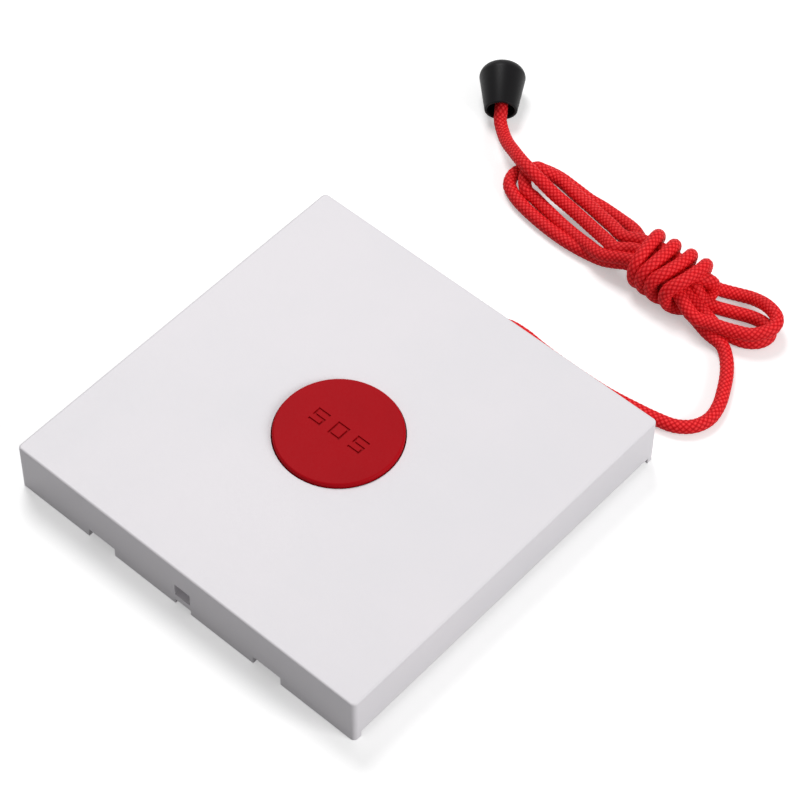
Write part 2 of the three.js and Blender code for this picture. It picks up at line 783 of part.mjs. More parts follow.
function pullSwitchPlunger() {
  const tip = plungerTip();
  const length = pullSwitchFront + pullPlungerBuried - tip;
  const pin = new THREE.CylinderGeometry(pullPlungerRadius, pullPlungerRadius, length, stepsSmall);
  pin.rotateZ(quarter).translate(tip + length / 2, pullSwitchY, pullAxisHeight);
  return solidOf(pin);
}

// Coin cell, its ring and its contacts
function coinCell() {
  const step = cellSeat + cellRimStep;
  return solidOf(turnedUp([
    [0, cellSeat], [cellRimRadius - cellEdge, cellSeat], [cellRimRadius, step],
    [cellRadius - cellEdge, step], [cellRadius, step + cellEdge],
    ...edgeArc(cellRadius, cellEdge, cellTop - cellEdge, 2), [0, cellTop],
  ], stepsLarge).translate(0, cellY, 0));
}

function cellHolder() {
  const inner = cellRadius + fitGap;
  const outer = inner + holderWall;
  const from = quarter + holderMouth;
  const to = 5 * quarter - holderMouth;
  const shape = new THREE.Shape();
  shape.absarc(0, cellY, outer, from, to, false);
  shape.absarc(0, cellY, inner, to, from, true);
  shape.closePath();
  return solidOf(prism(shape, partSeat, partSeat + holderHeight, stepsMedium));
}

function cellClip() {
  const legX = cellRadius + 2 * fitGap + holderWall;
  const footEnd = legX + clipMetal + clipFoot;
  const top = cellTop + layGap;
  const outline = [
    [legX, partSeat], [footEnd, partSeat], [footEnd, partSeat + clipMetal],
    [legX + clipMetal, partSeat + clipMetal], [legX + clipMetal, top + clipMetal],
  ];
  const inner = [[-legX, top], [legX, top]];
  const mirrored = outline.map(([x, z]) => [-x, z]).reverse();
  const shape = new THREE.Shape();
  [...outline, ...mirrored, ...inner].forEach(([x, z], i) => {
    if (i === 0) shape.moveTo(x, z);
    else shape.lineTo(x, z);
  });
  shape.closePath();
  const strip = prism(shape, -clipWidth / 2, clipWidth / 2);
  return solidOf(strip.rotateX(quarter).translate(0, cellY, 0));
}

function cellContact() {
  const half = contactLength / 2;
  const wide = contactWidth / 2;
  return joined(
    solidOf(boxBetween(-half, half, cellY - wide, cellY + wide, partSeat, partSeat + clipMetal)),
    solidOf(boxBetween(-wide, wide, cellY - half, cellY + half, partSeat, partSeat + clipMetal)),
  );
}

// Radio and small parts
const radioTop = () => partSeat + radioBoardThickness;

function radioBoard() {
  const outline = roundedOutline(radioWidth / 2, radioLength / 2, radioCorner, radioX, radioY);
  return solidOf(prism(outline, partSeat, radioTop()));
}

function radioShield() {
  const halfX = radioWidth / 2 - radioShieldInset;
  const halfY = radioLength / 2 - radioShieldInset;
  const low = radioTop() + layGap;
  const outline = roundedOutline(halfX, halfY, radioCorner, radioX, radioY);
  return solidOf(prism(outline, low, low + radioShieldHeight));
}

function antennaSpring() {
  const coil = coilSpring(antennaRadius, antennaWire, 0, antennaLength, antennaTurns);
  const height = boardTop + fitGap + antennaRadius + antennaWire / 2;
  return solidOf(coil.rotateX(-quarter).translate(antennaX, -antennaLength / 2, height));
}

function controlChip() {
  const half = chipSide / 2;
  const outline = roundedOutline(half, half, chipCorner, chipX, chipY);
  return solidOf(prism(outline, partSeat, partSeat + chipHeight));
}

function crystalCan() {
  const outline = roundEnded(crystalX, crystalY, crystalLength / 2, crystalWidth / 2, true);
  return solidOf(prism(outline, partSeat, partSeat + crystalHeight, roundEndSteps));
}

function statusLed() {
  const outline = roundedOutline(ledLength / 2, ledWidth / 2, ledCorner, 0, ledY);
  return solidOf(prism(outline, partSeat, partSeat + ledHeight));
}

// Free cord and its bell
function routeCurve(route) {
  const points = route.map(([x, drop, z]) => new THREE.Vector3(x, belowPlate(drop), z));
  return new THREE.CatmullRomCurve3(points, false, 'centripetal');
}

function cordStretch(route, stepLength) {
  const curve = routeCurve(route);
  const steps = Math.round(curve.getLength() / stepLength);
  return solidOf(tubeAlong(curve, cordRadius, cordSides, steps));
}

function hankLoops() {
  const shape = new THREE.Shape();
  const leftY = belowPlate(hankLeftDrop);
  const rightY = belowPlate(hankRightDrop);
  shape.absarc(hankLeftX, leftY, hankLeftRadius, -quarter, quarter, false);
  shape.absarc(hankRightX, rightY, hankRightRadius, quarter, 3 * quarter, false);
  shape.closePath();
  return prism(shape, 0, hankLoopHeight, roundEndSteps);
}

function hankWrap() {
  const halfLength = (hankWrapLeftX - hankWrapRightX) / 2;
  const centreX = (hankWrapLeftX + hankWrapRightX) / 2;
  const centreY = belowPlate(hankWrapDrop);
  const outline = roundedOutline(halfLength, hankWrapHalf, hankWrapCorner, centreX, centreY);
  return prism(outline, 0, hankWrapHeight);
}

function cordHank() {
  return joined(solidOf(hankLoops()), solidOf(hankWrap()));
}

function bellEnd() {
  return solidOf(turnedAlongY([
    [0, bellHollow], [cordBore, bellHollow], [cordBore, 0], [bellMouthRadius, 0],
    ...edgeArc(bellEndRadius, bellEdge, bellLength - bellEdge), [0, bellLength],
  ], stepsMedium));
}

// Assembly
const part = new THREE.Group();

function add(name, solid, material, parent = part) {
  const mesh = new THREE.Mesh(geometryOf(solid), material);
  mesh.name = name;
  parent.add(mesh);
  return mesh;
}

add('base_plate', basePlate(), finishes.plateWhite);
add('front_cover', frontCover(), finishes.coverWhite);
add('button_cap', buttonCap(), finishes.buttonRed);
add('button_spring', buttonSpring(), finishes.springSteel);
add('circuit_board', circuitBoard(), finishes.boardGreen);
boardScrewPlaces().forEach(([x, y], i) => {
  add(`board_screw_${i + 1}`, boardScrew(), finishes.springSteel).position.set(x, y, 0);
});
add('call_switch_body', callSwitchBody(), finishes.switchBlack);
add('call_switch_plunger', callSwitchPlunger(), finishes.switchBlack);
add('pull_slider', pullSlider(), finishes.slideGrey);
add('slider_spring', sliderSpring(), finishes.springSteel);
add('pull_switch_body', pullSwitchBody(), finishes.switchBlack);
add('pull_switch_plunger', pullSwitchPlunger(), finishes.slideGrey);
add('cord_bush', cordBush(), finishes.bushWhite);
add('cord_knot', cordKnot(), finishes.cordRed);
add('cord_inner', cordInner(), finishes.cordRed);
add('coin_cell', coinCell(), finishes.cellSteel);
add('cell_holder', cellHolder(), finishes.switchBlack);
add('cell_clip', cellClip(), finishes.springSteel);
add('cell_contact', cellContact(), finishes.springSteel);
add('radio_board', radioBoard(), finishes.boardGreen);
add('radio_shield', radioShield(), finishes.cellSteel);
add('antenna_spring', antennaSpring(), finishes.springSteel);
add('control_chip', controlChip(), finishes.chipBlack);
add('crystal_can', crystalCan(), finishes.cellSteel);
add('status_led', statusLed(), finishes.ledClear);
add('cord_lead', cordStretch(leadRoute, leadStep), finishes.cordRed);
add('cord_hank', cordHank(), finishes.cordRed);
add('cord_tail', cordStretch(tailRoute, tailStep), finishes.cordRed);

const bell = add('bell_end', bellEnd(), finishes.bellBlack);
const bellTilt = Math.atan((bellEndRadius - bellMouthRadius) / (bellLength - bellEdge));
bell.rotation.set(bellTilt, 0, bellTurn + Math.PI, 'ZYX');
bell.position.set(bellMouthX, belowPlate(bellMouthDrop), bellMouthRadius * Math.cos(bellTilt));

export default part;
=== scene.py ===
# %% [markdown]
# # Wall emergency button with a pull cord
# A square plastic plate carries a round red push button. A braided cord leaves its lower
# side, is tied in a hank and ends in a small black bell. This lesson dresses the measured
# solids of that part with finishes, a real braided cord and soft studio light. Everything
# is in metres, the plate's back lies on the floor at z = 0, and +Z points out of its face.

# %% Load the measured solids
import json
from math import atan2, cos, pi, radians, sin

import bmesh
import bpy
import numpy as np
from mathutils import Matrix, Vector


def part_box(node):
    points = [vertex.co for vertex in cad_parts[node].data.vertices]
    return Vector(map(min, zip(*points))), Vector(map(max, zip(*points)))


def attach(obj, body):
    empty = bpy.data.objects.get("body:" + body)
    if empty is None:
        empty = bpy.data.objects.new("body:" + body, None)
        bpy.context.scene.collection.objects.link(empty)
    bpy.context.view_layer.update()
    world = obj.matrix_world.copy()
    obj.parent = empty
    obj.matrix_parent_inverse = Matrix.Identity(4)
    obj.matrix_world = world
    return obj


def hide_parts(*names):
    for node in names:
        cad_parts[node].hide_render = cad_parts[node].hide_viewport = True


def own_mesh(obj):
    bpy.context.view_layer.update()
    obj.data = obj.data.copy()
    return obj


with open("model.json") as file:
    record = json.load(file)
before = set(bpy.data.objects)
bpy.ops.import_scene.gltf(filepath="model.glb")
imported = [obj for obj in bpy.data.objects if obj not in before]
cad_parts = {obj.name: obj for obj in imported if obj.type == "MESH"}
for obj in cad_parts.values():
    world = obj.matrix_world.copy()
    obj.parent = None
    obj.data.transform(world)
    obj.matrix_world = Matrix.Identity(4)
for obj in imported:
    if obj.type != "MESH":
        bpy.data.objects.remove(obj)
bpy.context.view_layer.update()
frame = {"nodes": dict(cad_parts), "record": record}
MM = 0.001

# %% [markdown]
# ## Camera
# The photograph was taken with a long lens from high above one corner, with the latch side
# in front and the cord behind. A camera could be aimed by hand until the edges fit. Here its
# place and turn were worked out from the corners of the plate, which is 86 mm square, so it
# is given as a place and two directions, and the third direction follows from them.

# %% Place the camera
CAMERA_PLACE = Vector((-0.2375062, 0.2555358, 0.4776526))
CAMERA_RIGHT = Vector((-0.7463702, -0.6654647, 0.0093925))
CAMERA_UP = Vector((0.5325587, -0.5887230, 0.6081007))
CAMERA_LENS, SENSOR_WIDTH = 138.215, 36  # millimetres

camera_data = bpy.data.cameras.new("photo_camera")
camera_data.lens = CAMERA_LENS
camera_data.sensor_width = SENSOR_WIDTH
camera = bpy.data.objects.new("photo_camera", camera_data)
backwards = CAMERA_RIGHT.cross(CAMERA_UP)
camera.matrix_world = Matrix.Translation(CAMERA_PLACE) @ Matrix(
    (CAMERA_RIGHT, CAMERA_UP, backwards)
).transposed().to_4x4()
bpy.context.scene.collection.objects.link(camera)
bpy.context.scene.camera = camera
print("camera looks along", tuple(round(-c, 3) for c in backwards))

# %% [markdown]
# ## Route of the cord
# The cord is a limp braid a little under 3 mm thick. It leaves the bush, bends round the
# plate's corner and runs to the hank. There it goes to and fro five times, then its end is
# wound round the runs nearly four times, tucked in under the turns and led over the runs to
# the bell. The photograph shows it from end to end, so its length is what was measured
# there, about 0.59 m. A route could be drawn by hand in the viewport, but a list of points
# can be checked against the photograph and repeated exactly. All points are in millimetres.

# %% From the bush to the hank
LEAD = [  # from the bush, round the corner of the plate and up to the hank
    (0, -42.3, 4.6), (0, -43.3, 4.5), (-0.9, -45.4, 4), (-3, -47.1, 3.1), (-6.2, -47.9, 2.2),
    (-10, -47.9, 1.6), (-15, -47.8, 1.4), (-21, -47.8, 1.4), (-27, -48, 1.4), (-33, -48.8, 1.4),
    (-38, -49.7, 1.4), (-42, -50.9, 1.4), (-44.7, -53.3, 1.4), (-45.8, -56.6, 1.4),
    (-45.2, -60.3, 1.4), (-43.4, -64.3, 1.4), (-41.1, -68.2, 1.4), (-38.6, -71.1, 1.4),
    (-36.2, -72.8, 1.4),
]
print("points in the lead:", len(LEAD))

# %% [markdown]
# In the hank the cord goes to and fro in five runs, three side by side and two on top of
# them. All of them could be one long list, but each run and each bend has a list of its
# own, because the bends at the two ends are what the eye follows, and one of them can then
# be moved without touching the rest.

# %% The five runs of the hank and their bends
RUN_1 = [  # first run, at the front, to the left end
    (-32.5, -73.3, 1.4), (-28.5, -74.2, 1.9), (-24.5, -74.8, 3.3), (-20.5, -75, 4),
    (-13, -75, 4), (-10.3, -74.8, 4), (-7.9, -74, 3.3), (-5.1, -73.6, 2.1), (-2.3, -73.4, 1.5),
    (1, -73, 1.4), (4.6, -72.8, 1.4), (10.1, -73.1, 1.4), (16, -74, 1.4), (19.5, -75, 1.4),
]
LEFT_BEND_OUTER = [  # wide bend at the left end
    (22.5, -76.8, 1.4), (23.6, -79.7, 1.4), (22.7, -82.2, 1.4), (20.4, -84.2, 1.4),
]
RUN_2 = [  # second run, at the back, to the right end
    (16.5, -85.1, 1.4), (11.5, -84.9, 1.4), (7.4, -84.6, 1.4), (3.3, -84.8, 1.4),
    (-0.7, -84.3, 2), (-5.3, -83.1, 3.3), (-9, -81.3, 4), (-13.5, -80.5, 4), (-21, -80.5, 4),
    (-24.6, -81.2, 3.6), (-27.8, -83.6, 1.9), (-30.7, -85.2, 1.5), (-33.5, -86, 1.9),
]
RIGHT_BEND_UPPER = [  # bend at the right end that lies on the others
    (-36.6, -85.7, 3), (-39.1, -84.9, 3.8), (-41, -83.9, 4.1), (-42, -82.6, 4.1),
    (-42.2, -80.6, 4.1), (-41.4, -78.8, 4),
]
RUN_3 = [  # third run, on top of the first
    (-39.8, -77, 3.8), (-37, -75.7, 3.7), (-34.1, -74.6, 3.7), (-31.3, -73.7, 3.8),
    (-28.8, -72.6, 4.5), (-23.3, -74.3, 5.9), (-19, -75, 6.5), (-13, -75, 6.5), (-9, -74, 5.5),
    (-4.8, -73.1, 4), (-0.8, -73.9, 2.9), (3.6, -74.8, 2), (8, -75.7, 1.5), (12.5, -76.6, 1.4),
]
LEFT_BEND_INNER = [  # narrow bend at the left end
    (16, -77.2, 1.7), (18.5, -77.3, 2.4), (20.9, -80.3, 3.5), (19.6, -82.5, 3.9),
]
RUN_4 = [  # fourth run, on top of the second
    (17.8, -82.7, 3.7), (15.3, -83.4, 3.3), (12.6, -83.3, 3), (9.4, -82.7, 3),
    (5.8, -82.2, 3.1), (1.9, -81.3, 3.5), (-2.2, -80.1, 4.4), (-5.9, -78.9, 5.3),
    (-9.5, -79.8, 6.2), (-13.5, -80.5, 6.5), (-20.5, -80.5, 6.5), (-22.9, -79.9, 5.7),
    (-24.8, -79, 3.9), (-26.9, -78.8, 2.2), (-29.2, -79.5, 1.5), (-33.1, -81.1, 1.4),
    (-36, -82.3, 1.4),
]
RIGHT_BEND_LOWER = [  # bend at the right end that lies on the floor
    (-38.5, -82.8, 1.4), (-40.7, -82.4, 1.4), (-41.8, -80.9, 1.4), (-41.7, -79.5, 1.4),
]
RUN_5 = [  # fifth run, in the middle, to where the turns start
    (-41, -78.1, 1.4), (-39.3, -76.7, 1.4), (-36.9, -75.9, 1.4), (-33.5, -75.6, 1.4),
    (-29.5, -76.4, 1.8), (-25.8, -76.9, 2.6), (-21.5, -77.8, 4), (-14.5, -77.8, 4),
    (-12.3, -77.6, 3.5), (-9.6, -78.2, 1.9),
    (-8.8, -80.4, 1.4), (-9.6, -82.7, 2), (-10.8, -83.8, 4),
]
print("points in the first run:", len(RUN_1))

# %% [markdown]
# The cord's end is wound round the runs in nearly four turns. Each turn has twelve points on a
# rounded box, because the cord pulls the bundle into that section, and the turns lean over
# as they go along: a hand winds them so.

# %% The turns that hold the hank together
BUNDLE_Y = -77.75  # middle of the bundle of runs
TURN_POINTS = 12  # points in one turn
FULL_TURNS = 3
POINTS_BEFORE, POINTS_AFTER = 2, 7  # before the first full turn and after the last
TURN_STEP = 3.75  # from one turn to the next
TURN_START_X = -12.9
TURN_LOW, TURN_HIGH = 1.4, 8.9
TURN_WIDTH, WIDTH_GROWTH = 5.2, 0.45  # out from the middle, and how much more at full lean
TURN_SQUARE = 0.8  # 1 is an ellipse, less is nearer to a box
LEAN_TURNS = 2  # turns until they lean fully
SWAY, SWAY_GROWTH = -0.35, 1.95  # how far a turn lags on the side near the plate
SKEW, SKEW_GROWTH = 0.15, 1.35  # how far both sides of a turn lag behind its top


def rounded(value):
    return np.sign(value) * abs(value) ** TURN_SQUARE


HANK_TURNS = []
middle, reach = (TURN_LOW + TURN_HIGH) / 2, (TURN_HIGH - TURN_LOW) / 2
for i in range(-POINTS_BEFORE, FULL_TURNS * TURN_POINTS + POINTS_AFTER):
    angle = 2 * pi * i / TURN_POINTS
    lean = min(max(i / TURN_POINTS / LEAN_TURNS, 0), 1)
    x = (
        TURN_START_X
        - TURN_STEP * i / TURN_POINTS
        + (SWAY + SWAY_GROWTH * lean) * sin(angle)
        + (SKEW + SKEW_GROWTH * lean) * (1 - cos(2 * angle)) / 2
    )
    y = BUNDLE_Y + (TURN_WIDTH + WIDTH_GROWTH * lean) * rounded(sin(angle))
    HANK_TURNS.append((x, y, middle + reach * rounded(cos(angle))))
print("points in the turns:", len(HANK_TURNS))

# %% [markdown]
# The cord's end has to be held, or the turns would come loose. It comes up behind the runs
# and goes in under the turns, which press it down, then lies on top of the hank on its way
# to the bell. The photograph hides the tuck. It could be left out by starting the tail
# inside the hank, but then the cord would not be one line, so it takes the shortest way.

# %% From the hank to the bell
TUCK = [  # up behind the runs and in under the turns
    (-26.9, -80.6, 1.9), (-26.8, -81.9, 4), (-26, -80.9, 6), (-24.2, -79.2, 6.9),
]
TAIL = [  # on top of the runs, out over the left bends and down to the bell
    (-21.5, -78, 6.8), (-18, -77.8, 6.7), (-13.5, -77.8, 6.6), (-10, -76.9, 6.4),
    (-6.7, -75.2, 5.7), (-3.4, -76.2, 4.8), (0.1, -77.3, 3.9), (3.5, -78.3, 3.2),
    (6.7, -79, 2.9), (9.7, -79.3, 3.1), (12.3, -79.2, 3.8), (14.9, -79.1, 4.9),
    (17.2, -79.1, 5.8), (19.7, -79.4, 6.2), (22.7, -80.5, 5.6), (26.2, -82.4, 4.2),
    (29.8, -84.5, 2.7), (32.9, -86.8, 1.8), (34.9, -88.3, 2.4), (35.9, -89.6, 3.4),
    (37.4, -91.5, 3.8),
]
print("points to the bell:", len(TUCK) + len(TAIL))

# %% [markdown]
# A smooth line has to pass through every chosen point without swinging out between close
# ones. A centripetal Catmull-Rom curve does that. It is then cut into equal steps, so that
# the braid has the same pitch everywhere, however far apart the chosen points are.

# %% One smooth centre line
CORD_DIAMETER = 2.82 * MM
TUFT_HEIGHT = 0.12 * MM
TUFT_INSIDE = 0.75  # share of a tuft's height that lies within the cord's diameter
CORD_STEP = 0.25 * MM


def smooth_line(points, steps=12):
    chosen = [np.array(p, float) * MM for p in points]
    chosen = [2 * chosen[0] - chosen[1], *chosen, 2 * chosen[-1] - chosen[-2]]
    line = []
    for a, b, c, d in zip(chosen, chosen[1:], chosen[2:], chosen[3:]):
        t1 = np.linalg.norm(b - a) ** 0.5
        t2 = t1 + np.linalg.norm(c - b) ** 0.5
        t3 = t2 + np.linalg.norm(d - c) ** 0.5
        for k in range(steps):
            t = t1 + (t2 - t1) * k / steps
            ab = ((t1 - t) * a + t * b) / t1
            bc = ((t2 - t) * b + (t - t1) * c) / (t2 - t1)
            cd = ((t3 - t) * c + (t - t2) * d) / (t3 - t2)
            abc = ((t2 - t) * ab + t * bc) / t2
            bcd = ((t3 - t) * bc + (t - t1) * cd) / (t3 - t1)
            line.append(((t2 - t) * abc + (t - t1) * bcd) / (t2 - t1))
    line.append(chosen[-2])
    return np.array(line)


def equal_steps(line, step):
    gaps = np.linalg.norm(np.diff(line, axis=0), axis=1)
    far = np.concatenate([[0], np.cumsum(gaps)])
    count = int(far[-1] / step) + 1
    places = np.linspace(0, far[-1], count)
    return np.stack([np.interp(places, far, line[:, i]) for i in range(3)], 1), far[-1]


cord_route = (
    LEAD + RUN_1 + LEFT_BEND_OUTER + RUN_2 + RIGHT_BEND_UPPER + RUN_3 + LEFT_BEND_INNER
    + RUN_4 + RIGHT_BEND_LOWER + RUN_5 + HANK_TURNS + TUCK + TAIL
)
cord_line, CORD_LENGTH = equal_steps(smooth_line(cord_route), CORD_STEP)
lying_height = CORD_DIAMETER / 2 + (1 - TUFT_INSIDE) * TUFT_HEIGHT
cord_line[:, 2] = np.maximum(cord_line[:, 2], lying_height)
print("cord length:", round(CORD_LENGTH, 4), "m, lowest", round(cord_line[:, 2].min(), 5))

# %% [markdown]
# ## Braided cord
# Sixteen yarns, eight each way, cross over and under each other round a core. Seen close, the
# surface is rows of small tufts in a zigzag. The tube could carry them as bump alone, but
# then its outline would be a plain hose, so the tufts are real. A curve with a round bevel
# gives the plain tube first, because it keeps the rings from twisting.

# %% The plain tube
CORD_SIDES = 24

line_data = bpy.data.curves.new("cord_line", "CURVE")
line_data.dimensions = "3D"
line_data.twist_mode = "MINIMUM"
line_data.bevel_depth = CORD_DIAMETER / 2
line_data.bevel_resolution = (CORD_SIDES - 4) // 2
spline = line_data.splines.new("POLY")
spline.points.add(len(cord_line) - 1)
spline.points.foreach_set("co", np.hstack([cord_line, np.ones((len(cord_line), 1))]).ravel())
line_object = bpy.data.objects.new("cord_line", line_data)
bpy.context.scene.collection.objects.link(line_object)
bpy.context.view_layer.update()
cord_mesh = bpy.data.meshes.new_from_object(
    line_object.evaluated_get(bpy.context.evaluated_depsgraph_get())
)
bpy.data.objects.remove(line_object)
print("tube:", len(cord_mesh.vertices), "points with", CORD_SIDES, "in each ring")


# %% [markdown]
# Yarns that lean left and yarns that lean right take turns on top, as the squares of a
# chessboard do. Each tuft is a steep arch across its yarn and a flatter one along it. Every
# point of the tube is moved out or in by the height of the braid at its own place. A
# displacement modifier could do it too, but these sums keep the pitch exact round the cord.

# %% Tufts of the braid
YARNS_EACH_WAY = 8
CROSSING = 1.1 * MM  # length of cord from one crossing to the next on the same yarn
ARCH_POWER = 0.6  # below 1, so that a yarn has a broad top and steep sides
END_HEIGHT = 0.35  # share of its height that a tuft keeps where it goes under the next


def braid_height(along, round_it):
    left, right = round_it + along, round_it - along
    left_part, right_part = left % 1, right % 1
    left_on_top = (np.floor(left) + np.floor(right)) % 2 < 1
    across = np.where(left_on_top, left_part, right_part)
    lengthwise = np.where(left_on_top, right_part, left_part)
    arch_across = np.sin(pi * across) ** ARCH_POWER
    return arch_across * (END_HEIGHT + (1 - END_HEIGHT) * np.sin(pi * lengthwise))


rings = len(cord_line)
places = np.empty(len(cord_mesh.vertices) * 3)
cord_mesh.vertices.foreach_get("co", places)
places = places.reshape(-1, 3)
ring_of = np.repeat(np.arange(rings), CORD_SIDES)
side_of = np.tile(np.arange(CORD_SIDES), rings)
outwards = (places - cord_line[ring_of]) / (CORD_DIAMETER / 2)
length_each = CORD_LENGTH / (rings - 1)
height = braid_height(
    ring_of * length_each / CROSSING, side_of / CORD_SIDES * YARNS_EACH_WAY
)
places += outwards * ((height - TUFT_INSIDE) * TUFT_HEIGHT)[:, None]
cord_mesh.vertices.foreach_set("co", places.ravel())
print("tufts round the cord:", 2 * YARNS_EACH_WAY, "rings:", rings)

# %% [markdown]
# The finish has to know where it is on the braid. A map laid by unwrapping would cut the
# cord into strips, so the tube gets a UV map that counts crossings along it and round it.
# The last strip of each ring ends at the full count and not at nought, or the pattern
# would run backwards there.

# %% Count the crossings in a UV map
corner_point = np.empty(len(cord_mesh.loops), int)
cord_mesh.loops.foreach_get("vertex_index", corner_point)
corner_side = (corner_point % CORD_SIDES).astype(float).reshape(-1, 4)
last_strip = (corner_side == CORD_SIDES - 1).any(axis=1, keepdims=True)
corner_side = np.where(last_strip & (corner_side == 0), CORD_SIDES, corner_side).ravel()
crossings_along = corner_point // CORD_SIDES * length_each / CROSSING
crossings_round = corner_side / CORD_SIDES * YARNS_EACH_WAY
braid_map = np.stack([crossings_along, crossings_round], 1)
for old_map in list(cord_mesh.uv_layers):
    cord_mesh.uv_layers.remove(old_map)
cord_mesh.uv_layers.new(name="braid").data.foreach_set("uv", braid_map.ravel())
print("crossings along the cord:", round(crossings_along.max(), 1))

closed_tube = bmesh.new()
closed_tube.from_mesh(cord_mesh)
open_ends = [edge for edge in closed_tube.edges if edge.is_boundary]
bmesh.ops.holes_fill(closed_tube, edges=open_ends, sides=0)
bmesh.ops.recalc_face_normals(closed_tube, faces=closed_tube.faces)
closed_tube.to_mesh(cord_mesh)
closed_tube.free()
cord_mesh.shade_smooth()
cord = bpy.data.objects.new("braided_cord", cord_mesh)
bpy.context.scene.collection.objects.link(cord)
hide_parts("cord_lead", "cord_hank", "cord_tail")
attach(cord, "pull")
print("cord faces:", len(cord_mesh.polygons))

# %% [markdown]
# ## Bell at the end of the cord
# The bell is a small moulded cone with a rounded end. The cord goes into its open mouth and
# is knotted inside. Rings of points could be stacked by hand, but half of its section,
# drawn once and spun round its axis as on a lathe, is shorter and easier to change. It is
# spun upright and then laid down on its side, as it lies on the floor.

# %% Spin the bell
BELL_MOUTH_RADIUS, BELL_END_RADIUS, BELL_LENGTH = 3.5, 4.9, 10.9
BELL_EDGE, BELL_LIP, BELL_OPENING = 2.7, 0.25, 2.9
BELL_HOLLOW, BELL_THROAT, BELL_THROAT_DEPTH = 6.5, 1.5, 3.4
BELL_FUNNEL_TOP = (BELL_THROAT + 0.5, BELL_THROAT_DEPTH - 0.6)
BELL_FUNNEL_FOOT = (BELL_OPENING - 0.2, 1.6)
BELL_SIDES = 72
BELL_X, BELL_Y, BELL_TURN = 36.1, -89.8, 0.67  # where its mouth lies, and its turn
SAME_POINT = 1e-6  # metres; points that are closer are merged


def quarter_arc(centre_x, centre_z, radius, start, stop, count):
    return [
        (centre_x + radius * cos(a), centre_z + radius * sin(a))
        for a in (start + (stop - start) * i / count for i in range(count + 1))
    ]


def link_piece(shape, name):
    mesh = bpy.data.meshes.new(name)
    shape.to_mesh(mesh)
    shape.free()
    piece = bpy.data.objects.new(name, mesh)
    bpy.context.scene.collection.objects.link(piece)
    return piece


def spin_section(section, steps):
    shape = bmesh.new()
    points = [shape.verts.new((x * MM, 0, z * MM)) for x, z in section]
    edges = [shape.edges.new(pair) for pair in zip(points, points[1:])]
    bmesh.ops.spin(
        shape, geom=points + edges, cent=(0, 0, 0), axis=(0, 0, 1),
        angle=2 * pi, steps=steps, use_merge=True,
    )
    bmesh.ops.remove_doubles(shape, verts=shape.verts, dist=SAME_POINT)
    bmesh.ops.recalc_face_normals(shape, faces=shape.faces)
    return shape


bell_section = [
    (0, BELL_HOLLOW), (BELL_THROAT, BELL_HOLLOW), (BELL_THROAT, BELL_THROAT_DEPTH),
    BELL_FUNNEL_TOP, BELL_FUNNEL_FOOT,
    *quarter_arc(BELL_OPENING + BELL_LIP, BELL_LIP, BELL_LIP, pi, 3 * pi / 2, 4),
    *quarter_arc(BELL_MOUTH_RADIUS - BELL_LIP, BELL_LIP, BELL_LIP, -pi / 2, 0, 4),
    *quarter_arc(
        BELL_END_RADIUS - BELL_EDGE, BELL_LENGTH - BELL_EDGE, BELL_EDGE, 0, pi / 2, 10
    ),
    (0, BELL_LENGTH),
]
bell_shape = spin_section(bell_section, BELL_SIDES)
bell_tilt = atan2(BELL_END_RADIUS - BELL_MOUTH_RADIUS, BELL_LENGTH - BELL_EDGE)
laid_down = (
    Matrix.Translation(
        Vector((BELL_X, BELL_Y, BELL_MOUTH_RADIUS * cos(bell_tilt))) * MM
    )
    @ Matrix.Rotation(BELL_TURN + pi, 4, "Z")
    @ Matrix.Rotation(bell_tilt, 4, "X")
    @ Matrix.Rotation(-pi / 2, 4, "X")
)
bmesh.ops.transform(bell_shape, matrix=laid_down, verts=bell_shape.verts)
bell = link_piece(bell_shape, "bell_moulded")
bell.data.shade_smooth()
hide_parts("bell_end")
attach(bell, "pull")
print("bell box:", [tuple(round(c, 4) for c in v) for v in bell.bound_box][0:7:6])

# %% [markdown]
# The length could be typed in, but the one measured along the centre line stays right when
# a point is moved.

print("cord ends inside the bell at", [round(c, 4) for c in cord_line[-1]])

# %% [markdown]
# ## Moulded pieces from their solids
# Cover, plate, button, switches and springs already have the right shape as solids, but
# their faces are loose triangles and shade like cut paper. A copy of each is merged into
# one skin, its gentle edges are shaded smooth and its hard ones stay sharp. Weighted
# normals keep the large flat faces flat beside the small rounded edges.

# %% Merge each solid into a smooth skin
BODY_OF = {
    node: body
    for body, members in frame["record"]["behaviour"]["bodies"].items()
    for node in members
}
SLOT_OF = {part["node"]: part["material_slot"] for part in frame["record"]["subparts"]}
HARD_EDGE = radians(38)
SOLID_WELD, NO_LENGTH = 2e-6, 1e-7  # metres; closer points are merged, shorter edges go
FLAT_FACE_WEIGHT = 100  # the highest, so that large faces stay flat
skins = {}


def skin_of(node):
    shape = bmesh.new()
    shape.from_mesh(frame["nodes"][node].data)
    bmesh.ops.remove_doubles(shape, verts=shape.verts, dist=SOLID_WELD)
    bmesh.ops.dissolve_degenerate(shape, dist=NO_LENGTH, edges=shape.edges)
    for face in shape.faces:
        face.smooth = True
    for edge in shape.edges:
        edge.smooth = edge.calc_face_angle(pi) < HARD_EDGE
    skin = link_piece(shape, node + "_skin")
    weights = skin.modifiers.new("flat faces stay flat", "WEIGHTED_NORMAL")
    weights.keep_sharp = True
    weights.weight = FLAT_FACE_WEIGHT
    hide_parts(node)
    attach(skin, BODY_OF[node])
    skins[node] = skin
    return skin


for node in sorted(set(SLOT_OF) - {"cord_lead", "cord_hank", "cord_tail", "bell_end"}):
    skin_of(node)
print("skins:", len(skins))
